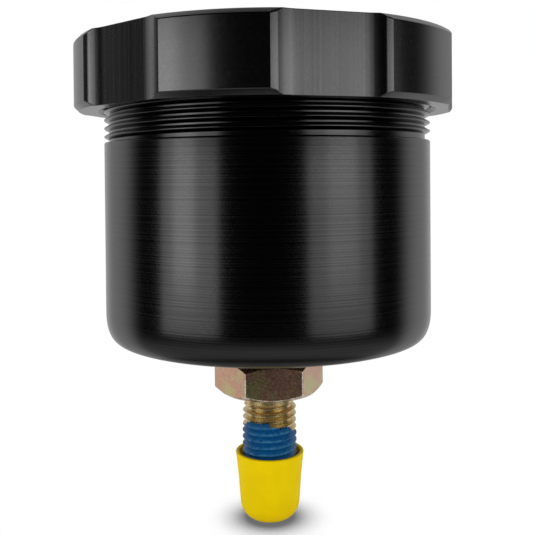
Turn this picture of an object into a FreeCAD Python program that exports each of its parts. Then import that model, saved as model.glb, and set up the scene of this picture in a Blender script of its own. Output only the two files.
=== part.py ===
import FreeCAD, Part
import math
import os

# Brake fluid reservoir: a turned aluminium cup with a lobed screw cap, on a hex adaptor with a threaded stud.
# Millimetres. +Z is up, and the origin is on the axis, on the adaptor's lower hex face, which seats on the mate.

# Outlet adaptor: hex
hex_across_flats = 17.8
hex_height = 10.7
hex_chamfer_angle = 30.0
hex_face_diameter = 16.9
hex_yaw = 5.6
outlet_bore = 5.0

# Outlet adaptor: threaded stud below the hex
stud_diameter = 10.0
stud_length = 20.8
stud_relief_length = 2.1
stud_relief_diameter = 9.2
stud_lead_length = 9.4
stud_lead_diameter = 9.6
stud_tip_chamfer = 0.9

# Outlet adaptor: spigot that screws into the body's floor
spigot_diameter = 14.0
spigot_length = 5.6
spigot_relief_diameter = 12.6
spigot_relief_length = 2.0
spigot_chamfer = 0.6

# Body
body_diameter = 60.0
body_shoulder_height = 35.9
foot_round_width = 3.1
foot_round_height = 5.8
foot_round_fullness = 2.5
foot_round_steps = 4
body_wall = 3.5
body_floor = 6.0
body_inner_chamfer = 2.5
shoulder_chamfer = 0.4

# Body: neck, at its thread's outer diameter
neck_relief_depth = 0.92
neck_relief_length = 0.45
rim_chamfer = 0.92

# Cap
cap_diameter = 70.5
cap_height = 12.7
cap_chamfer = 0.9
cap_ceiling = 3.4
neck_exposed = 5.5
cap_bore_clearance = 0.3
cap_mouth_chamfer = 0.8
recess_count = 6
recess_phase = 16.9
recess_depth = 2.75
recess_flat_width = 14.8
recess_cutter_radius = 3.0
recess_overshoot = 3.0
vent_notch_width = 1.5
vent_notch_depth = 0.6

# Diaphragm
flange_thickness = 1.6
flange_clearance = 0.02
bellows_wall = 1.4
bellows_bore_gap = 1.6
bellows_depth = 12.2

# Square-cut seal ring between the adaptor and the body
seal_pocket_depth = 1.5
seal_pocket_diameter = 16.5
seal_clearance = 0.03

# Dust cap
dust_mouth_diameter = 12.8
dust_end_diameter = 11.3
dust_mouth_drop = 11.3
dust_height = 12.7
dust_wall = 0.75
dust_floor = 0.9
dust_corner_height = 2.3
dust_corner_width = 1.9

# Dried thread-lock patch
patch_film = 0.06
patch_gap = 0.02
patch_drop = 6.4

# Fits
thread_clearance = 0.05

body_bottom = hex_height
shoulder = body_bottom + body_shoulder_height
cap_underside = shoulder + neck_exposed
cap_top = cap_underside + cap_height
ceiling = cap_top - cap_ceiling
rim = ceiling - flange_thickness - 2 * flange_clearance
body_radius = body_diameter / 2
bore_radius = body_radius - body_wall
rim_edge = body_radius - rim_chamfer
stud_lead_top = stud_lead_length - stud_length
inner_floor = body_bottom + body_floor
up = FreeCAD.Vector(0, 0, 1)
origin = FreeCAD.Vector(0, 0, 0)


def section_point(radius, height):
    return FreeCAD.Vector(radius, 0, height)


def turned(outline):
    # A solid of revolution from a closed outline of (radius, height) points
    points = [section_point(r, z) for r, z in outline]
    wire = Part.makePolygon(points + points[:1])
    return Part.Face(wire).revolve(origin, up, 360)


def drilled(diameter, bottom, top):
    return Part.makeCylinder(diameter / 2, top - bottom, FreeCAD.Vector(0, 0, bottom), up)


def foot_round():
    # The body's rounded lower corner in a few straight steps, taller than it is wide
    power = 2 / foot_round_fullness
    points = []
    for k in range(foot_round_steps + 1):
        angle = math.pi / 2 * k / foot_round_steps
        inset = foot_round_width * (1 - math.sin(angle) ** power)
        rise = foot_round_height * (1 - math.cos(angle) ** power)
        points.append((body_radius - inset, body_bottom + rise))
    return points


def make_body():
    relief_radius = body_radius - neck_relief_depth
    relief_top = shoulder + neck_relief_length
    outline = [(0, body_bottom)]
    outline += foot_round()
    outline += [
        (body_radius, shoulder - shoulder_chamfer),
        (body_radius - shoulder_chamfer, shoulder),
        (relief_radius, shoulder),
        (relief_radius, relief_top),
        (body_radius, relief_top + neck_relief_depth),
        (body_radius, rim - rim_chamfer),
        (rim_edge, rim),
        (bore_radius, rim),
        (bore_radius, inner_floor + body_inner_chamfer),
        (bore_radius - body_inner_chamfer, inner_floor),
        (0, inner_floor),
    ]
    cup = turned(outline)
    port = drilled(spigot_diameter + 2 * thread_clearance, body_bottom, inner_floor)
    pocket = drilled(seal_pocket_diameter, body_bottom, body_bottom + seal_pocket_depth)
    return cup.cut(port).cut(pocket)


def hex_prism():
    corner = hex_across_flats / 2 / math.cos(math.pi / 6)
    corners = []
    for k in range(6):
        angle = math.radians(60 * k + hex_yaw)
        corners.append(FreeCAD.Vector(corner * math.cos(angle), corner * math.sin(angle), 0))
    prism = Part.Face(Part.makePolygon(corners + corners[:1])).extrude(up * hex_height)
    face_radius = hex_face_diameter / 2
    drop = (corner - face_radius) * math.tan(math.radians(hex_chamfer_angle))
    envelope = turned([
        (0, 0),
        (face_radius, 0),
        (corner, drop),
        (corner, hex_height - drop),
        (face_radius, hex_height),
        (0, hex_height),
    ])
    return prism.common(envelope)


def make_outlet_adaptor():
    lead_radius = stud_lead_diameter / 2
    stud = turned([
        (0, -stud_length),
        (lead_radius - stud_tip_chamfer, -stud_length),
        (lead_radius, stud_tip_chamfer - stud_length),
        (lead_radius, stud_lead_top),
        (stud_diameter / 2, stud_lead_top),
        (stud_diameter / 2, -stud_relief_length),
        (stud_relief_diameter / 2, -stud_relief_length),
        (stud_relief_diameter / 2, 0),
        (0, 0),
    ])
    spigot_top = body_bottom + spigot_length
    relief_top = body_bottom + spigot_relief_length
    spigot = turned([
        (0, body_bottom),
        (spigot_relief_diameter / 2, body_bottom),
        (spigot_relief_diameter / 2, relief_top),
        (spigot_diameter / 2, relief_top),
        (spigot_diameter / 2, spigot_top - spigot_chamfer),
        (spigot_diameter / 2 - spigot_chamfer, spigot_top),
        (0, spigot_top),
    ])
    solid = hex_prism().fuse([stud, spigot]).removeSplitter()
    return solid.cut(drilled(outlet_bore, -stud_length, spigot_top))


def ring_solid(inner, outer, bottom, top):
    return turned([(inner, bottom), (outer, bottom), (outer, top), (inner, top)])


def make_adaptor_seal():
    return ring_solid(
        spigot_relief_diameter / 2 + seal_clearance,
        seal_pocket_diameter / 2 - seal_clearance,
        body_bottom + seal_clearance,
        body_bottom + seal_pocket_depth - seal_clearance,
    )


def make_thread_lock_patch():
    # A thin dried film round the stud, down to where the dust cap covers it
    inner = stud_diameter / 2 + patch_gap
    return ring_solid(inner, inner + patch_film, stud_lead_top, -patch_drop)


def make_dust_cap():
    mouth = -dust_mouth_drop
    bottom = mouth - dust_height
    mouth_radius = dust_mouth_diameter / 2
    end_radius = dust_end_diameter / 2
    taper = (mouth_radius - end_radius) / dust_height
    corner_radius = end_radius + taper * dust_corner_height
    inner_bottom = bottom + dust_floor
    inner_corner = bottom + dust_corner_height
    return turned([
        (0, bottom),
        (end_radius - dust_corner_width, bottom),
        (corner_radius, inner_corner),
        (mouth_radius, mouth),
        (mouth_radius - dust_wall, mouth),
        (corner_radius - dust_wall, inner_corner),
        (end_radius - dust_corner_width - dust_wall / 2, inner_bottom),
        (0, inner_bottom),
    ])


def grip_recess():
    # A flat-floored cut with the cutter's radius at both ends, running out through the cap's rim
    floor = cap_diameter / 2 - recess_depth
    half = recess_flat_width / 2
    r = recess_cutter_radius
    side = half + r
    out = cap_diameter / 2 + recess_overshoot
    bend = r * math.sin(math.pi / 4)

    def at(along, away):
        return FreeCAD.Vector(away, along, cap_underside)

    right_bend = Part.Arc(at(half, floor), at(half + bend, floor + r - bend), at(side, floor + r))
    left_bend = Part.Arc(at(-side, floor + r), at(-half - bend, floor + r - bend), at(-half, floor))
    wire = Part.Wire([
        Part.LineSegment(at(-half, floor), at(half, floor)).toShape(),
        right_bend.toShape(),
        Part.LineSegment(at(side, floor + r), at(side, out)).toShape(),
        Part.LineSegment(at(side, out), at(-side, out)).toShape(),
        Part.LineSegment(at(-side, out), at(-side, floor + r)).toShape(),
        left_bend.toShape(),
    ])
    return Part.Face(wire).extrude(up * cap_height)


def make_cap():
    radius = cap_diameter / 2
    bore = body_radius + cap_bore_clearance
    cap = turned([
        (bore + cap_mouth_chamfer, cap_underside),
        (radius - cap_chamfer, cap_underside),
        (radius, cap_underside + cap_chamfer),
        (radius, cap_top - cap_chamfer),
        (radius - cap_chamfer, cap_top),
        (0, cap_top),
        (0, ceiling),
        (bore, ceiling),
        (bore, cap_underside + cap_mouth_chamfer),
    ])
    recess = grip_recess()
    first = recess_phase - 90
    for k in range(recess_count):
        turned_recess = recess.copy()
        turned_recess.rotate(origin, up, first + k * 360 / recess_count)
        cap = cap.cut(turned_recess)
    notch = Part.makeBox(
        bore, vent_notch_width, vent_notch_depth, FreeCAD.Vector(0, -vent_notch_width / 2, ceiling)
    )
    return cap.cut(notch)


def make_diaphragm():
    # A flange clamped under the cap, a hanging wall and a closed web
    flange_bottom = rim + flange_clearance
    flange_top = flange_bottom + flange_thickness
    outer = bore_radius - bellows_bore_gap
    inner = outer - bellows_wall
    web_bottom = flange_bottom - bellows_depth
    return turned([
        (rim_edge, flange_top),
        (rim_edge, flange_bottom),
        (outer, flange_bottom),
        (outer, web_bottom),
        (0, web_bottom),
        (0, web_bottom + bellows_wall),
        (inner, web_bottom + bellows_wall),
        (inner, flange_top),
    ])


makers = {
    "cap": make_cap,
    "diaphragm": make_diaphragm,
    "body": make_body,
    "outlet_adaptor": make_outlet_adaptor,
    "adaptor_seal": make_adaptor_seal,
    "thread_lock_patch": make_thread_lock_patch,
    "dust_cap": make_dust_cap,
}

os.makedirs("parts", exist_ok=True)
for name, make in makers.items():
    shape = make()
    shape.exportStep("parts/" + name + ".step")
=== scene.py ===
import math

import bpy
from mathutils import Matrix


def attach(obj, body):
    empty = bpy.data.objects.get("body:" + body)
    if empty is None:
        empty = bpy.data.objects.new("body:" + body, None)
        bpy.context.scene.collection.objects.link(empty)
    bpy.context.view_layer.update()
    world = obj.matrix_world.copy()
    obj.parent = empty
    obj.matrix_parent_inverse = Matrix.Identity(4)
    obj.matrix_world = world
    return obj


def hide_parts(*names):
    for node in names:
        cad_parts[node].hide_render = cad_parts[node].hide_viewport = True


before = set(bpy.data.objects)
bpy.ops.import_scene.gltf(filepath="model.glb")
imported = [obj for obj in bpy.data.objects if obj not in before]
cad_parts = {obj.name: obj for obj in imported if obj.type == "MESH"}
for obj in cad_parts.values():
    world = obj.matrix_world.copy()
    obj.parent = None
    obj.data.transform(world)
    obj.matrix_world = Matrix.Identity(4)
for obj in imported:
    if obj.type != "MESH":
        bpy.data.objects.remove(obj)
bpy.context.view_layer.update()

# Body: a cup turned from solid aluminium bar, with a rounded foot, a plain wall and a threaded
# neck for the cap. It is anodised black all over, and the fine lines that the lathe tool left
# still show through the finish.
MM = 0.001
WELD = 0.002 * MM


def pick(piece):
    # Selects one piece alone and makes it the active one
    bpy.ops.object.select_all(action="DESELECT")
    piece.select_set(True)
    bpy.context.view_layer.objects.active = piece


def start_outline(name):
    # A single vertex at the origin, in edit mode, to extrude an outline from
    bpy.ops.object.select_all(action="DESELECT")
    bpy.ops.mesh.primitive_plane_add(size=MM)
    piece = bpy.context.object
    piece.name = name
    bpy.ops.object.mode_set(mode="EDIT")
    bpy.ops.mesh.merge(type="CENTER")
    return piece


def extrude_through(points):
    # Moves the vertex to the first point and extrudes it through the others
    here = (0.0, 0.0, 0.0)
    for count, point in enumerate(points):
        step = tuple((to - at) * MM for to, at in zip(point, here))
        if count == 0:
            bpy.ops.transform.translate(value=step)
        else:
            bpy.ops.mesh.extrude_vertices_move(TRANSFORM_OT_translate={"value": step})
        here = point


def extrude_section(outline):
    # The same for (radius, height) points, in the plane of a lathe section
    extrude_through([(r, 0, z) for r, z in outline])


def weld_and_face_out():
    # Closes the seams of a mesh in edit mode, turns its faces outwards and leaves edit mode
    bpy.ops.mesh.select_all(action="SELECT")
    bpy.ops.mesh.remove_doubles(threshold=WELD)
    bpy.ops.mesh.normals_make_consistent(inside=False)
    bpy.ops.object.mode_set(mode="OBJECT")


def turned(name, outline, steps):
    # Spins an outline about the axis; one that starts off the axis is closed to a ring section
    piece = start_outline(name)
    ring = outline[0][0] > 0
    extrude_section(outline + outline[:1] if ring else outline)
    bpy.ops.mesh.select_all(action="SELECT")
    bpy.ops.mesh.spin(steps=steps, angle=2 * math.pi, center=(0, 0, 0), axis=(0, 0, 1))
    weld_and_face_out()
    return piece


def corner(r, z, radius, start, end, steps):
    # Points on a rounded corner about (r, z), between two angles in degrees
    points = []
    for k in range(steps + 1):
        angle = math.radians(start + (end - start) * k / steps)
        points.append((r + radius * math.cos(angle), z + radius * math.sin(angle)))
    return points


def apply_modifier(piece, kind, **settings):
    pick(piece)
    bpy.ops.object.modifier_add(type=kind)
    modifier = piece.modifiers[-1]
    for key, value in settings.items():
        setattr(modifier, key, value)
    bpy.ops.object.modifier_apply(modifier=modifier.name)


def ridge_section(middle, *half):
    # A thread ridge in section, mirrored from (radius, distance from its middle) points
    lower = [(r, middle - away) for r, away in half]
    upper = [(r, middle + away) for r, away in half[::-1]]
    return lower + upper


def sweep_helix(piece, pitch, turns, steps):
    # Sweeps a section up a right-hand helix
    apply_modifier(
        piece, "SCREW", axis="Z", angle=2 * math.pi, screw_offset=pitch * MM, iterations=turns,
        steps=steps, render_steps=steps,
    )


def trim(low, high):
    # Cuts the mesh in edit mode off level below and above, and closes the cuts
    for height, up in ((low, 1), (high, -1)):
        bpy.ops.mesh.select_all(action="SELECT")
        bpy.ops.mesh.bisect(
            plane_co=(0, 0, height * MM), plane_no=(0, 0, up), use_fill=True, clear_inner=True
        )


def thread_ridge(name, section, pitch, turns, steps, low, high):
    # One closed ridge swept up its helix, with its ends closed, trimmed level
    ridge = start_outline(name)
    extrude_section(section + section[:1])
    weld_and_face_out()
    sweep_helix(ridge, pitch, turns, steps)
    bpy.ops.object.mode_set(mode="EDIT")
    bpy.ops.mesh.select_all(action="SELECT")
    bpy.ops.mesh.fill_holes(sides=len(section) + 1)
    trim(low, high)
    weld_and_face_out()
    return ridge


def run_out(ridge, crest, start, slope):
    # Lowers a ridge's crest above a height, or below it for a negative slope, as a thread dies
    # out beside a shoulder
    for vertex in ridge.data.vertices:
        reach = math.hypot(vertex.co.x, vertex.co.y) / MM
        limit = crest - max(0, slope * (vertex.co.z / MM - start))
        if reach > limit:
            vertex.co.x *= limit / reach
            vertex.co.y *= limit / reach


def join_pieces(main, *others):
    pick(main)
    for other in others:
        other.select_set(True)
    bpy.ops.object.join()


def smooth(piece, angle):
    pick(piece)
    bpy.ops.object.shade_smooth_by_angle(angle=math.radians(angle))


NOISE_LOW, NOISE_HIGH = 0.3, 0.7


class Nodes:
    # The node tree of a material or of the world, with short calls to add and link its nodes
    def __init__(self, owner, shader):
        owner.use_nodes = True
        self.owner = owner
        self.tree = owner.node_tree
        self.shader = self.tree.nodes[shader]

    def add(self, kind, **settings):
        node = self.tree.nodes.new(kind)
        for key, value in settings.items():
            setattr(node, key, value)
        return node

    def link(self, source, target):
        self.tree.links.new(source, target)

    def set(self, **values):
        # Constants, on the shader's own sockets
        for key, value in values.items():
            self.shader.inputs[key.replace("_", " ")].default_value = value

    def connect(self, **sources):
        # Whatever varies, linked to the shader's sockets
        for key, source in sources.items():
            self.link(source, self.shader.inputs[key.replace("_", " ")])

    def place(self):
        return self.add("ShaderNodeTexCoord").outputs["Object"]

    def turned_place(self):
        # Radius and height, which stay the same along every line that a lathe tool leaves
        split = self.add("ShaderNodeSeparateXYZ")
        self.link(self.place(), split.inputs[0])
        flat = self.add("ShaderNodeCombineXYZ")
        self.link(split.outputs["X"], flat.inputs["X"])
        self.link(split.outputs["Y"], flat.inputs["Y"])
        radius = self.add("ShaderNodeVectorMath", operation="LENGTH")
        self.link(flat.outputs[0], radius.inputs[0])
        both = self.add("ShaderNodeCombineXYZ")
        self.link(radius.outputs["Value"], both.inputs["X"])
        self.link(split.outputs["Z"], both.inputs["Y"])
        return both.outputs[0], radius.outputs["Value"]

    def scaled(self, source, scale):
        mapping = self.add("ShaderNodeMapping")
        mapping.inputs["Scale"].default_value = scale
        self.link(source, mapping.inputs["Vector"])
        return mapping.outputs["Vector"]

    def noise(self, source, scale, detail=2.0, rough=0.5):
        node = self.add("ShaderNodeTexNoise")
        node.inputs["Scale"].default_value = scale
        node.inputs["Detail"].default_value = detail
        node.inputs["Roughness"].default_value = rough
        self.link(source, node.inputs["Vector"])
        return node.outputs["Fac"]

    def maths(self, operation, first, second):
        node = self.add("ShaderNodeMath", operation=operation)
        for socket, value in zip(node.inputs, (first, second)):
            if isinstance(value, float):
                socket.default_value = value
            else:
                self.link(value, socket)
        return node.outputs[0]

    def ranged(self, source, low, high, out_low, out_high, **settings):
        node = self.add("ShaderNodeMapRange", **settings)
        limits = {"From Min": low, "From Max": high, "To Min": out_low, "To Max": out_high}
        for key, value in limits.items():
            node.inputs[key].default_value = value
        self.link(source, node.inputs["Value"])
        return node.outputs["Result"]

    def spread(self, noise, out_low, out_high):
        # Stretches the middle of a noise, where nearly all of it lies, over a range
        return self.ranged(noise, NOISE_LOW, NOISE_HIGH, out_low, out_high)

    def ramp(self, source, *stops):
        node = self.add("ShaderNodeValToRGB")
        while len(node.color_ramp.elements) < len(stops):
            node.color_ramp.elements.new(0.5)
        for element, (position, colour) in zip(node.color_ramp.elements, stops):
            element.position = position
            element.color = (*colour, 1)
        self.link(source, node.inputs["Fac"])
        return node.outputs["Color"]

    def tinted(self, noise, dark, pale):
        return self.ramp(noise, (NOISE_LOW, dark), (NOISE_HIGH, pale))

    def bump(self, height, strength, distance, after=None):
        node = self.add("ShaderNodeBump")
        node.inputs["Strength"].default_value = strength
        node.inputs["Distance"].default_value = distance * MM
        self.link(height, node.inputs["Height"])
        if after:
            self.link(after, node.inputs["Normal"])
        return node.outputs["Normal"]


def new_material(name):
    return Nodes(bpy.data.materials.new(name), "Principled BSDF")


GRAIN_SCALE, CLOUD_SCALE, FEED_SCALE, RING_SCALE, MILL_SCALE = 3000, 60, 1500, 3000, 2600
UPRIGHT_MARKS, FEED_LOW, FEED_HIGH = (1, 1, 0.002), 0.75, 1.25
CLOUD_SHADE, GRAIN_GLOSS, MARK_SHINY, MARK_DULL = 0.07, 0.03, -0.4, 0.6

# How deep each way of machining marks the metal, and how far the marks vary its shine and gloss
TOOL_MARKS = {
    "milled": (0.22, 0.18, 0.05),
    "turned": (0.085, 0.18, 0.045),
    "polished": (0.012, 0.03, 0.01),
}


def anodised(name, finish, roughness, shine, graze=1.0):
    # Black dyed oxide over machined aluminium: hardly a colour of its own, and a satin gloss
    nodes = new_material(name)
    nodes.set(Metallic=1.0, Specular_Tint=(graze, graze, graze, 1))
    place = nodes.place()
    grain = nodes.noise(place, GRAIN_SCALE, rough=0.6)
    cloud = nodes.noise(place, CLOUD_SCALE, detail=4.0)
    depth, streak, gloss_drift = TOOL_MARKS[finish]
    if finish == "milled":
        marks = nodes.noise(nodes.scaled(place, UPRIGHT_MARKS), MILL_SCALE, rough=0.6)
    else:
        rings, _ = nodes.turned_place()
        feed = nodes.add("ShaderNodeTexWave", bands_direction="DIAGONAL")
        feed.inputs["Scale"].default_value = FEED_SCALE
        nodes.link(rings, feed.inputs["Vector"])
        even = nodes.ranged(feed.outputs["Fac"], 0.0, 1.0, FEED_LOW, FEED_HIGH)
        marks = nodes.maths("MULTIPLY", even, nodes.noise(rings, RING_SCALE, detail=0.0))
    sheen = nodes.maths(
        "MULTIPLY",
        nodes.spread(cloud, (1 - CLOUD_SHADE) * shine, (1 + CLOUD_SHADE) * shine),
        nodes.spread(marks, 1 - streak, 1 + streak),
    )
    gloss = nodes.maths(
        "ADD",
        nodes.spread(grain, roughness - GRAIN_GLOSS, roughness + GRAIN_GLOSS),
        nodes.spread(marks, MARK_SHINY * gloss_drift, MARK_DULL * gloss_drift),
    )
    lines = nodes.bump(marks, strength=depth, distance=0.04)
    skin = nodes.bump(grain, strength=0.04, distance=0.03, after=lines)
    nodes.connect(Base_Color=sheen, Roughness=gloss, Normal=skin)
    return nodes.owner


BODY_RADIUS, BODY_FOOT, SHOULDER, RIM = 30.0, 10.7, 46.6, 59.76
FOOT_WIDTH, FOOT_HEIGHT, FOOT_FULLNESS, FOOT_STEPS = 3.1, 5.8, 2.5, 24
SHOULDER_ROUND, RIM_LEAD, RIM_CHAMFER = 0.3, 0.9, 0.5
NECK_ROOT, BORE, INNER_FLOOR, INNER_ROUND = 29.08, 26.5, 16.7, 3
PORT, SEAL_POCKET, POCKET_TOP = 7.05, 8.25, 12.2
NECK_PITCH, NECK_START, NECK_TURNS, RELIEF_TOP = 1.5, 43.83, 11, 46.92
NECK_BURIED, NECK_BASE_HALF, NECK_EDGE_HALF, NECK_FLAT_HALF = 28.9, 0.73, 0.13, 0.06
NECK_EDGE_BREAK, NECK_RUN_OUT, NECK_FADE = 0.06, 47.25, -2.8

body_outline = [(SEAL_POCKET, BODY_FOOT)]
for k in range(FOOT_STEPS + 1):
    foot_angle = math.pi / 2 * k / FOOT_STEPS
    foot_inset = FOOT_WIDTH * (1 - math.sin(foot_angle) ** (2 / FOOT_FULLNESS))
    foot_rise = FOOT_HEIGHT * (1 - math.cos(foot_angle) ** (2 / FOOT_FULLNESS))
    body_outline.append((BODY_RADIUS - foot_inset, BODY_FOOT + foot_rise))
body_outline += corner(
    BODY_RADIUS - SHOULDER_ROUND, SHOULDER - SHOULDER_ROUND, SHOULDER_ROUND, 0, 90, steps=4
)
body_outline += [
    (NECK_ROOT, SHOULDER),
    (NECK_ROOT, RIM - RIM_LEAD),
    (NECK_ROOT - RIM_CHAMFER, RIM),
    (BORE, RIM),
]
body_outline += corner(
    BORE - INNER_ROUND, INNER_FLOOR + INNER_ROUND, INNER_ROUND, 0, -90, steps=8
)
body_outline += [(PORT, INNER_FLOOR), (PORT, POCKET_TOP), (SEAL_POCKET, POCKET_TOP)]
body = turned("reservoir_body", body_outline, steps=180)
neck_section = ridge_section(
    NECK_START,
    (NECK_BURIED, NECK_BASE_HALF),
    (BODY_RADIUS - NECK_EDGE_BREAK, NECK_EDGE_HALF),
    (BODY_RADIUS, NECK_FLAT_HALF),
)
neck_ridge = thread_ridge(
    "neck_ridge", neck_section, NECK_PITCH, NECK_TURNS, steps=144,
    low=RELIEF_TOP, high=RIM - RIM_LEAD,
)
run_out(neck_ridge, BODY_RADIUS, NECK_RUN_OUT, NECK_FADE)
join_pieces(body, neck_ridge)
smooth(body, angle=28)
body.data.materials.append(
    anodised("turned_black_anodising", "turned", roughness=0.19, shine=0.043)
)
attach(body, "reservoir")
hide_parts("body")

# Seal ring: a square-cut rubber ring in the pocket under the body, squeezed by the adaptor's hex.
# It is cut from moulded rubber tube, so it is matt black with a faint grain.
SEAL_IN, SEAL_OUT, SEAL_LOW, SEAL_HIGH, SEAL_ROUND = 6.53, 8.02, 10.93, 11.97, 0.2


def rubber(name, roughness, scale, dark, pale, depth):
    nodes = new_material(name)
    nodes.set(Roughness=roughness)
    grain = nodes.noise(nodes.place(), scale, detail=4.0)
    nodes.connect(
        Base_Color=nodes.tinted(grain, (dark, dark, dark), (pale, pale, pale)),
        Normal=nodes.bump(grain, strength=0.3, distance=depth),
    )
    return nodes.owner


# The four corners of its section, about the centres of their rounding
seal_outline = corner(SEAL_IN, SEAL_LOW, SEAL_ROUND, 180, 270, steps=3)
seal_outline += corner(SEAL_OUT, SEAL_LOW, SEAL_ROUND, 270, 360, steps=3)
seal_outline += corner(SEAL_OUT, SEAL_HIGH, SEAL_ROUND, 0, 90, steps=3)
seal_outline += corner(SEAL_IN, SEAL_HIGH, SEAL_ROUND, 90, 180, steps=3)
seal = turned("square_seal", seal_outline, steps=72)
smooth(seal, angle=40)
seal.data.materials.append(
    rubber("seal_ring_rubber", roughness=0.62, scale=2500, dark=0.010, pale=0.022, depth=0.03)
)
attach(seal, "reservoir")
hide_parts("adaptor_seal")

# Outlet adaptor: a steel hex with a spigot that screws into the body and a threaded stud for the
# port below. It is turned and rolled from hex bar, then zinc plated and passivated to a shifting
# yellow and pink, which has worn off along the hex's edges.
HEX_FLATS, HEX_HEIGHT, HEX_TURN, HEX_FACE, HEX_SLOPE = 17.8, 10.7, 35.6, 8.45, 30
HEX_SHOULDER, HEX_COLLAR, CONE_SPARE = 6.45, 8.3, 0.2
EDGE_BREAK, EDGE_ANGLE, WORN_TOP, STUD_PLATE_TOP = 0.14, 25, 5.0, -0.01
OUTLET_BORE, STUD_CREST, STUD_ROOT, STUD_NECK, STUD_FLARE = 2.5, 5.0, 4.28, 4.62, 0.3
STUD_TIP, TIP_CHAMFER, THREAD_LEAD, THREAD_TOP = -20.8, 0.6, 0.5, -1.75
STUD_ROOT_TOP, STUD_NECK_FOOT, STUD_NECK_TOP, STUD_SUNK = -2.3, -1.7, -0.4, 0.1
STUD_PITCH, STUD_START, STUD_TURNS = 1.25, -22.955, 18
STUD_BURIED, STUD_BASE_HALF, STUD_EDGE_HALF, STUD_FLAT_HALF = 4.1, 0.605, 0.11, 0.04
STUD_EDGE_BREAK, STUD_RUN_OUT, STUD_FADE = 0.07, -2.9, 0.5
SPIGOT_RADIUS, SPIGOT_RELIEF, SPIGOT_CHAMFER = 7.0, 6.3, 0.6
SPIGOT_FOOT, RELIEF_END, SPIGOT_TOP = 10.6, 12.7, 16.3

# The hex bar is cut by a turned cone, which leaves both chamfers and the collar under the body
hex_corner = HEX_FLATS / 2 / math.cos(math.pi / 6)
cone_reach = hex_corner + CONE_SPARE
cone_drop = (cone_reach - HEX_FACE) * math.tan(math.radians(HEX_SLOPE))
chamfer_cone = turned(
    "chamfer_cone",
    [
        (OUTLET_BORE, 0),
        (HEX_FACE, 0),
        (cone_reach, cone_drop),
        (cone_reach, HEX_SHOULDER - cone_drop),
        (HEX_FACE, HEX_SHOULDER),
        (HEX_COLLAR, HEX_SHOULDER),
        (HEX_COLLAR, HEX_HEIGHT),
        (OUTLET_BORE, HEX_HEIGHT),
    ],
    steps=120,
)
bpy.ops.object.select_all(action="DESELECT")
bpy.ops.mesh.primitive_cylinder_add(
    vertices=6, radius=hex_corner * MM, depth=HEX_HEIGHT * MM,
    location=(0, 0, HEX_HEIGHT / 2 * MM), rotation=(0, 0, math.radians(HEX_TURN)),
)
adaptor = bpy.context.object
adaptor.name = "hex_adaptor"
bpy.ops.object.transform_apply(location=True, rotation=True, scale=True)
apply_modifier(adaptor, "BOOLEAN", operation="INTERSECT", solver="EXACT", object=chamfer_cone)
bpy.data.objects.remove(chamfer_cone)

TINT_STOPS, SPECK_SCALE, SPECK_GLOSS = (0.36, 0.46, 0.55, 0.66), 2300, 0.08


def zinc_plate(name, roughness, scale, tints):
    # Passivated zinc, whose colour drifts through four tints under a fine crystal speckle
    plate = new_material(name)
    plate.set(Metallic=1.0)
    drift = plate.noise(plate.place(), scale, detail=3.0)
    speck = plate.noise(plate.place(), SPECK_SCALE, detail=4.0, rough=0.75)
    plate.connect(
        Base_Color=plate.ramp(drift, *zip(TINT_STOPS, tints)),
        Roughness=plate.spread(speck, roughness - SPECK_GLOSS, roughness + SPECK_GLOSS),
        Normal=plate.bump(speck, strength=0.45, distance=0.03),
    )
    return plate.owner


HEX_PLATE, STUD_PLATE, WORN_EDGE = 0, 1, 2
PINKS = (0.50, 0.44, 0.21), (0.55, 0.34, 0.22), (0.56, 0.31, 0.23), (0.52, 0.43, 0.23)
YELLOWS = (0.58, 0.46, 0.22), (0.66, 0.52, 0.27), (0.64, 0.50, 0.26), (0.60, 0.50, 0.25)
BARE_ZINCS = (0.56, 0.34, 0.23), (0.66, 0.52, 0.40), (0.95, 0.92, 0.86), (0.80, 0.72, 0.62)
adaptor.data.materials.append(
    zinc_plate("pink_passivated_zinc", roughness=0.24, scale=190, tints=PINKS)
)
adaptor.data.materials.append(
    zinc_plate("yellow_passivated_zinc", roughness=0.28, scale=190, tints=YELLOWS)
)
adaptor.data.materials.append(
    zinc_plate("worn_zinc_edge", roughness=0.50, scale=1100, tints=BARE_ZINCS)
)
apply_modifier(
    adaptor, "BEVEL", limit_method="ANGLE", angle_limit=math.radians(EDGE_ANGLE),
    width=EDGE_BREAK * MM, segments=2, use_clamp_overlap=False, material=WORN_EDGE,
)
stud = turned(
    "stud_core",
    [
        (OUTLET_BORE, STUD_TIP),
        (STUD_ROOT - TIP_CHAMFER, STUD_TIP),
        (STUD_ROOT, STUD_TIP + TIP_CHAMFER),
        (STUD_ROOT, STUD_ROOT_TOP),
        (STUD_NECK, STUD_NECK_FOOT),
        (STUD_NECK, STUD_NECK_TOP),
        (STUD_NECK + STUD_FLARE, STUD_SUNK),
        (OUTLET_BORE, STUD_SUNK),
    ],
    steps=72,
)
spigot = turned(
    "spigot",
    [
        (OUTLET_BORE, SPIGOT_FOOT),
        (SPIGOT_RELIEF, SPIGOT_FOOT),
        (SPIGOT_RELIEF, RELIEF_END),
        (SPIGOT_RADIUS, RELIEF_END),
        (SPIGOT_RADIUS, SPIGOT_TOP - SPIGOT_CHAMFER),
        (SPIGOT_RADIUS - SPIGOT_CHAMFER, SPIGOT_TOP),
        (OUTLET_BORE, SPIGOT_TOP),
    ],
    steps=72,
)
stud_section = ridge_section(
    STUD_START,
    (STUD_BURIED, STUD_BASE_HALF),
    (STUD_CREST - STUD_EDGE_BREAK, STUD_EDGE_HALF),
    (STUD_CREST, STUD_FLAT_HALF),
)
stud_ridge = thread_ridge(
    "stud_ridge", stud_section, STUD_PITCH, STUD_TURNS, steps=72,
    low=STUD_TIP + THREAD_LEAD, high=THREAD_TOP,
)
run_out(stud_ridge, STUD_CREST, STUD_RUN_OUT, STUD_FADE)
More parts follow.
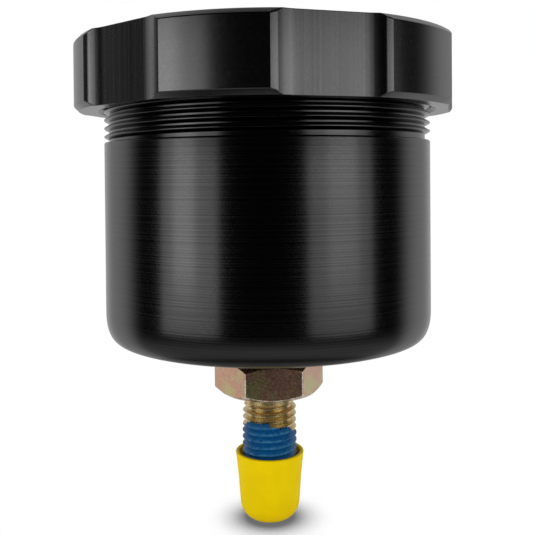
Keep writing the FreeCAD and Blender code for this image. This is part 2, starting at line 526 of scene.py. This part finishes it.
join_pieces(adaptor, stud, spigot, stud_ridge)
smooth(adaptor, angle=28)
apply_modifier(adaptor, "WEIGHTED_NORMAL", keep_sharp=True)
for face in adaptor.data.polygons:
    if face.center.z < STUD_PLATE_TOP * MM:
        face.material_index = STUD_PLATE
    elif face.material_index != WORN_EDGE or face.center.z > WORN_TOP * MM:
        face.material_index = HEX_PLATE
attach(adaptor, "reservoir")
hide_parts("outlet_adaptor")

# Thread-lock patch: a blue film brushed on the stud, where it dried in the thread's grooves with
# a ragged edge. It is thick and dark in the grooves and worn thin and pale along the crests.
FILM, FILM_WALL, GROOVE_FILL = 0.05, 0.04, 0.12
PATCH_START, PATCH_TURNS, PATCH_STEPS, PATCH_LOW = -15.455, 9, 144, -13.2
PATCH_EDGE, PATCH_TILT_X, PATCH_TILT_Y = -6.95, 0.75, 1.55
PATCH_RAGS = ((0.16, 7, 0.6), (0.10, 17, 0), (0.06, 31, 2))
CREST_FROM, CREST_TO, CREST_WEAR = 4.78, 5.05, 0.75


def patch_edge(angle):
    # The height of the film's upper edge round the stud: tilted, with rags of three sizes
    rags = sum(size * math.sin(count * angle + phase) for size, count, phase in PATCH_RAGS)
    return PATCH_EDGE - PATCH_TILT_X * math.cos(angle) - PATCH_TILT_Y * math.sin(angle) + rags


patch = start_outline("thread_lock_film")
extrude_section(ridge_section(
    PATCH_START,
    (STUD_ROOT + FILM + GROOVE_FILL, STUD_PITCH / 2),
    (STUD_CREST + FILM - STUD_EDGE_BREAK, STUD_EDGE_HALF),
    (STUD_CREST + FILM, STUD_FLAT_HALF),
))
bpy.ops.object.mode_set(mode="OBJECT")
sweep_helix(patch, STUD_PITCH, PATCH_TURNS, PATCH_STEPS)
bpy.ops.object.mode_set(mode="EDIT")
bpy.ops.mesh.select_all(action="SELECT")
bpy.ops.mesh.remove_doubles(threshold=WELD)
bpy.ops.mesh.select_all(action="DESELECT")
bpy.ops.object.mode_set(mode="OBJECT")
for face in patch.data.polygons:
    height = face.center.z / MM
    edge = patch_edge(math.atan2(face.center.y, face.center.x))
    face.select = height < PATCH_LOW or height > edge
bpy.ops.object.mode_set(mode="EDIT")
bpy.ops.mesh.select_mode(type="FACE")
bpy.ops.mesh.delete(type="FACE")
bpy.ops.mesh.select_mode(type="VERT")
bpy.ops.mesh.select_all(action="SELECT")
bpy.ops.mesh.normals_make_consistent(inside=False)
bpy.ops.object.mode_set(mode="OBJECT")
apply_modifier(patch, "SOLIDIFY", thickness=FILM_WALL * MM, offset=-1)
smooth(patch, angle=40)

film = new_material("dried_thread_lock")
film.set(Roughness=0.42, Specular_IOR_Level=0.3)
_, film_radius = film.turned_place()
film_speck = film.noise(film.place(), scale=1500, detail=4.0, rough=0.65)
film_worn = film.maths(
    "MULTIPLY",
    film.ranged(film_radius, CREST_FROM * MM, CREST_TO * MM, 0.0, CREST_WEAR),
    film.ranged(film_speck, low=0.38, high=0.62, out_low=0.1, out_high=1.0),
)
film_colour = film.add("ShaderNodeMix", data_type="RGBA")
film.link(film_worn, film_colour.inputs["Factor"])
film.link(
    film.tinted(film_speck, dark=(0.0, 0.048, 0.16), pale=(0.0, 0.098, 0.27)),
    film_colour.inputs["A"],
)
film.link(
    film.tinted(film_speck, dark=(0.0, 0.13, 0.30), pale=(0.07, 0.24, 0.38)),
    film_colour.inputs["B"],
)
film.connect(
    Base_Color=film_colour.outputs["Result"],
    Normal=film.bump(film_speck, strength=0.4, distance=0.04),
)
patch.data.materials.append(film.owner)
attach(patch, "reservoir")
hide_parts("thread_lock_patch")

# Dust cap: a soft yellow plastic thimble pushed over the stud to keep dirt out, pulled off before
# fitting. It is moulded, so it tapers to a rounded end and has a plain satin skin.
DUST_MOUTH, DUST_TOP, DUST_FOOT, DUST_WALL, DUST_FLOOR = 6.4, -11.3, -24.0, 0.75, 0.95
DUST_FLAT, DUST_LIP = 1.6, 0.17
END_ROUND, END_CENTRE = 3.5, (2.05, -20.5)
HOLLOW_ROUND, HOLLOW_CENTRE = 2.75, (2.3, -20.3)
DUST_SKIN = [(5.68, -19.0), (5.88, -16.2), (6.14, -13.6), (6.36, -11.8)]
DUST_HOLLOW = [(5.34, -15.5), (5.16, -19.0)]

lip_outer, lip_inner = DUST_MOUTH - DUST_LIP, DUST_MOUTH - DUST_WALL + DUST_LIP
dust_outline = [(0, DUST_FOOT), (DUST_FLAT, DUST_FOOT)]
dust_outline += corner(*END_CENTRE, END_ROUND, start=-84, end=-4, steps=12)
dust_outline += DUST_SKIN
dust_outline += corner(lip_outer, DUST_TOP - DUST_LIP, DUST_LIP, 0, 90, steps=3)
dust_outline += corner(lip_inner, DUST_TOP - DUST_LIP, DUST_LIP, 90, 180, steps=3)
dust_outline += DUST_HOLLOW
dust_outline += corner(*HOLLOW_CENTRE, HOLLOW_ROUND, start=0, end=-84, steps=10)
dust_outline += [(0, DUST_FOOT + DUST_FLOOR)]
dust_cap = turned("dust_cap_thimble", dust_outline, steps=96)
smooth(dust_cap, angle=50)

yellow = new_material("yellow_moulded_plastic")
yellow.set(
    Roughness=0.5, Specular_IOR_Level=0.05, Subsurface_Weight=0.3,
    Subsurface_Radius=(1.0, 0.7, 0.05), Subsurface_Scale=1.5 * MM,
)
yellow_cloud = yellow.noise(yellow.place(), scale=260, detail=3.0)
yellow_grain = yellow.noise(yellow.place(), scale=3500)
yellow.connect(
    Base_Color=yellow.tinted(yellow_cloud, dark=(0.83, 0.575, 0.0), pale=(0.89, 0.635, 0.0)),
    Normal=yellow.bump(yellow_grain, strength=0.15, distance=0.02),
)
dust_cap.data.materials.append(yellow.owner)
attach(dust_cap, "dust_cap")
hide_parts("dust_cap")

# Diaphragm: a moulded rubber bellows that hangs in the neck and follows the fluid down as its
# level falls. Its flange lies on the rim, and the cap clamps it there.
BELLOWS_OUT, BELLOWS_IN, BELLOWS_WALL, BELLOWS_TOP = 24.6, 21.9, 1.2, 59.4
FOLDS, FOLD_PITCH, FOLD_STEPS, FOLD_LIFT = 3, 3.5, 12, 0.3
FLANGE_RADIUS, FLANGE_LOW, FLANGE_HIGH, FLANGE_ROOT = 29.0, 59.8, 61.36, 24.8
WEB_LOW, WEB_HIGH, WEB_INSET = 47.7, 48.9, 0.6

bellows_outside, bellows_inside = [], []
for k in range(FOLDS * FOLD_STEPS + 1):
    wave = (1 + math.cos(2 * math.pi * k / FOLD_STEPS)) / 2
    fold_radius = BELLOWS_IN + (BELLOWS_OUT - BELLOWS_IN) * wave
    fold_height = BELLOWS_TOP - FOLD_PITCH * k / FOLD_STEPS
    bellows_outside.append((fold_radius, fold_height))
    bellows_inside.append((fold_radius - BELLOWS_WALL, fold_height + FOLD_LIFT))
bellows_outline = [(0, WEB_LOW), (BELLOWS_OUT - WEB_INSET, WEB_LOW)]
bellows_outline += bellows_outside[::-1]
bellows_outline += [
    (FLANGE_ROOT, FLANGE_LOW),
    (FLANGE_RADIUS, FLANGE_LOW),
    (FLANGE_RADIUS, FLANGE_HIGH),
    (BELLOWS_OUT - BELLOWS_WALL, FLANGE_HIGH),
]
bellows_outline += bellows_inside
bellows_outline += [(BELLOWS_OUT - BELLOWS_WALL - WEB_INSET, WEB_HIGH), (0, WEB_HIGH)]
diaphragm = turned("bellows_diaphragm", bellows_outline, steps=96)
smooth(diaphragm, angle=40)
diaphragm.data.materials.append(rubber(
    "moulded_bellows_rubber", roughness=0.58, scale=1800, dark=0.012, pale=0.026, depth=0.04
))
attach(diaphragm, "lift")
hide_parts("diaphragm")

# Cap: a thick aluminium disc with a deep threaded bore, turned first and then milled with six
# grip recesses. The lobes are polished and the recesses show the mill's upright lines, all under
# the same black anodising.
CAP_RADIUS, CAP_FOOT, CAP_TOP, CAP_CEILING, CAP_BORE = 35.25, 52.1, 64.8, 61.4, 30.3
CAP_CHAMFER, MOUTH_CHAMFER, CAP_EDGE_BREAK, CAP_EDGE_ANGLE = 0.9, 0.8, 0.14, 26
LATHE_STEPS, LATHE_OFFSET = 180, 0.9
RECESS_COUNT, RECESS_PHASE, RECESS_FLOOR, RECESS_FLAT = 6, 16.9, 33.18, 5.15
RECESS_BEND, RECESS_SLOPE, RECESS_STEPS = 9.6, 22, 10
LOBE_EDGE, LOBE_BREAK, CUTTER_FLARE, CUTTER_REACH, CUTTER_SPARE = 10.0, 0.5, 1.0, 4, 2
LEVEL, UPRIGHT, RECESS_INSIDE, LOBE_SKIN = 0.9, 0.1, 32.0, 0.15

cap = turned(
    "lobed_cap",
    [
        (0, CAP_TOP),
        (CAP_RADIUS - CAP_CHAMFER, CAP_TOP),
        (CAP_RADIUS, CAP_TOP - CAP_CHAMFER),
        (CAP_RADIUS, CAP_FOOT + CAP_CHAMFER),
        (CAP_RADIUS - CAP_CHAMFER, CAP_FOOT),
        (CAP_BORE + MOUTH_CHAMFER, CAP_FOOT),
        (CAP_BORE, CAP_FOOT + MOUTH_CHAMFER),
        (CAP_BORE, CAP_CEILING),
        (0, CAP_CEILING),
    ],
    LATHE_STEPS,
)
cap.rotation_euler.z = math.radians(LATHE_OFFSET)
bpy.ops.object.transform_apply(location=False, rotation=True, scale=False)

# Outline of one recess, seen from above: a shallow hollow, then the broken edge of the lobe
recess_end = []
for k in range(RECESS_STEPS + 1):
    bend = math.radians(RECESS_SLOPE * k / RECESS_STEPS)
    along = RECESS_FLAT + RECESS_BEND * math.sin(bend)
    recess_end.append((along, RECESS_FLOOR + RECESS_BEND * (1 - math.cos(bend))))
hollow_end, hollow_rise = recess_end[-1]
edge_rise = (LOBE_EDGE - hollow_end) * math.tan(math.radians(LOBE_BREAK))
recess_end.append((LOBE_EDGE, hollow_rise + edge_rise))
recess_end.append((LOBE_EDGE + CUTTER_FLARE, CAP_RADIUS + CUTTER_REACH))
recess_outline = [(-along, away) for along, away in recess_end[::-1]] + recess_end
cutter = start_outline("recess_cutter")
extrude_through([(away, along, CAP_FOOT - CUTTER_SPARE) for along, away in recess_outline])
bpy.ops.mesh.select_all(action="SELECT")
bpy.ops.mesh.edge_face_add()
cutter_height = CAP_TOP - CAP_FOOT + 2 * CUTTER_SPARE
bpy.ops.mesh.extrude_region_move(TRANSFORM_OT_translate={"value": (0, 0, cutter_height * MM)})
weld_and_face_out()
cutters = [cutter]
for k in range(1, RECESS_COUNT):
    pick(cutter)
    bpy.ops.object.duplicate()
    cutters.append(bpy.context.object)
for k, tool in enumerate(cutters):
    pick(tool)
    tool.rotation_euler.z = math.radians(RECESS_PHASE - 90 + 360 / RECESS_COUNT * k)
    bpy.ops.object.transform_apply(location=False, rotation=True, scale=False)
join_pieces(cutter, *cutters[1:])
apply_modifier(cap, "BOOLEAN", operation="DIFFERENCE", solver="EXACT", object=cutter)
bpy.data.objects.remove(cutter)
apply_modifier(
    cap, "BEVEL", limit_method="ANGLE", angle_limit=math.radians(CAP_EDGE_ANGLE),
    width=CAP_EDGE_BREAK * MM, segments=2, use_clamp_overlap=False,
)
# The fine bevel lifts a few corner points off the flat faces, so they go back
for vertex in cap.data.vertices:
    vertex.co.z = min(max(vertex.co.z, CAP_FOOT * MM), CAP_TOP * MM)

LOBE, RECESS, FACED_TOP = 0, 1, 2
cap.data.materials.append(
    anodised("cap_lobe_anodising", "polished", roughness=0.24, shine=0.074)
)
cap.data.materials.append(
    anodised("cap_recess_anodising", "milled", roughness=0.23, shine=0.072)
)
cap.data.materials.append(
    anodised("cap_faced_top_anodising", "polished", roughness=0.30, shine=0.050, graze=0.3)
)
for face in cap.data.polygons:
    reach = math.hypot(face.center.x, face.center.y) / MM
    if face.normal.z > LEVEL:
        face.material_index = FACED_TOP
    elif abs(face.normal.z) < UPRIGHT and RECESS_INSIDE < reach < CAP_RADIUS - LOBE_SKIN:
        face.material_index = RECESS
    else:
        face.material_index = LOBE
smooth(cap, angle=25)
apply_modifier(cap, "WEIGHTED_NORMAL", keep_sharp=True)
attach(cap, "cap")
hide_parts("cap")

# Floor: a plain white table top just under the dust cap, which shows only the soft shadow where
# the part touches it. It is a small disc, so that a dust cap pulled down past it is still seen.
FLOOR_RADIUS, FLOOR_GAP, SHADOW_REACH = 40, 0.01, 9
CONTACT_SHADES = ((0.40, 0.15), (0.62, 0.36), (0.80, 0.80), (0.90, 1.0))

bpy.ops.object.select_all(action="DESELECT")
bpy.ops.mesh.primitive_circle_add(
    vertices=96, radius=FLOOR_RADIUS * MM, fill_type="NGON",
    location=(0, 0, (DUST_FOOT - FLOOR_GAP) * MM),
)
floor = bpy.context.object
floor.name = "table_top"
bpy.ops.object.transform_apply(location=True, rotation=True, scale=True)
table = new_material("white_table_top")
table.set(Base_Color=(0.8, 0.8, 0.8, 1), Roughness=0.6)
contact = table.add("ShaderNodeAmbientOcclusion", samples=16)
contact.inputs["Distance"].default_value = SHADOW_REACH * MM
shades = [(open_share, (grey, grey, grey)) for open_share, grey in CONTACT_SHADES]
glow = table.add("ShaderNodeEmission")
table.link(table.ramp(contact.outputs["AO"], *shades), glow.inputs["Color"])
table_rays = table.add("ShaderNodeLightPath").outputs
table_seen = table.maths("MAXIMUM", table_rays["Is Camera Ray"], table_rays["Is Transmission Ray"])
table_mix = table.add("ShaderNodeMixShader")
table.link(table_seen, table_mix.inputs["Fac"])
table.link(table.shader.outputs["BSDF"], table_mix.inputs[1])
table.link(glow.outputs["Emission"], table_mix.inputs[2])
table.link(table_mix.outputs["Shader"], table.tree.nodes["Material Output"].inputs["Surface"])
floor.data.materials.append(table.owner)

# Studio: a white sweep behind the part, a pale floor all round with a painted shadow of the part
# straight below it, and a dark room in front between two tall softboxes. The black anodising has
# hardly a colour of its own, so its bright and dark upright bands are these softboxes and the gaps
# between them.
DIFFUSE_FILL = 0.75

studio = Nodes(bpy.data.worlds.new("studio"), "Background")
bpy.context.scene.world = studio.owner
sky = studio.add("ShaderNodeSeparateXYZ")
studio.link(studio.add("ShaderNodeTexCoord").outputs["Generated"], sky.inputs[0])


def band(axis, start, end, before, after):
    # Brightness that changes softly along one axis of the direction looked in
    return studio.ranged(
        sky.outputs[axis], start, end, before, after, interpolation_type="SMOOTHSTEP"
    )


sweep = studio.maths(
    "MULTIPLY",
    band("Y", start=0.08, end=0.40, before=0.01, after=1.0),
    band("Y", start=0.45, end=0.75, before=1.0, after=0.62),
)
# Pale floor below the horizon, darkening straight down to a painted shadow of the part
floor_and_painted_shadow = studio.maths(
    "MULTIPLY",
    band("Z", start=-0.20, end=-0.62, before=0.0, after=0.60),
    band("Z", start=-0.95, end=-0.70, before=0.10, after=1.0),
)
room = studio.maths("MAXIMUM", sweep, floor_and_painted_shadow)
rays = studio.add("ShaderNodeLightPath").outputs
fill = studio.maths("MULTIPLY", rays["Is Diffuse Ray"], DIFFUSE_FILL)
seen = studio.maths("MAXIMUM", rays["Is Camera Ray"], fill)
studio.connect(Color=studio.maths("MAXIMUM", room, seen))
studio.set(Strength=1.0)


def softbox(name, bearing, half_width, radiance, distance=600, low=-120, high=190):
    # A tall lamp that faces the axis; its bearing is in degrees to the right of the camera's side
    angle = math.radians(bearing)
    lamp = bpy.data.lights.new(name, "AREA")
    lamp.shape = "RECTANGLE"
    lamp.size = 2 * distance * math.tan(math.radians(half_width)) * MM
    lamp.size_y = (high - low) * MM
    lamp.energy = radiance * math.pi * lamp.size * lamp.size_y
    holder = bpy.data.objects.new(name, lamp)
    bpy.context.scene.collection.objects.link(holder)
    holder.location = (
        distance * math.sin(angle) * MM, -distance * math.cos(angle) * MM, (low + high) / 2 * MM
    )
    holder.rotation_euler = (math.pi / 2, 0, angle)
    holder.visible_camera = False


softbox("left_softbox", bearing=-53, half_width=21, radiance=1.9)
softbox("left_hot_core", bearing=-56, half_width=8, radiance=1.9, distance=590, low=-40, high=185)
softbox("right_softbox", bearing=49, half_width=23, radiance=1.5)
softbox("right_hot_core", bearing=50, half_width=11, radiance=1.1, distance=590, low=-40, high=185)
softbox("right_upper_core", bearing=42, half_width=18, radiance=0.6, distance=585, low=95)

# Camera: close to the part, level with the upper wall and aimed a little down. The picture is
# cropped low, so the lens is shifted instead of being tilted further.
CAMERA_AWAY, CAMERA_HEIGHT, CAMERA_DOWN, CAMERA_ROLL = 149.3, 40.4, 0.80, 0.47
view = bpy.data.cameras.new("camera")
view.sensor_width = 36
view.lens = 53.4
view.shift_y = -0.1505
view.clip_start = 10 * MM
camera = bpy.data.objects.new("camera", view)
bpy.context.scene.collection.objects.link(camera)
camera.location = (0, -CAMERA_AWAY * MM, CAMERA_HEIGHT * MM)
camera.rotation_euler = (math.radians(90 - CAMERA_DOWN), math.radians(CAMERA_ROLL), 0)
bpy.context.scene.camera = camera
bpy.context.scene.view_settings.view_transform = "Standard"
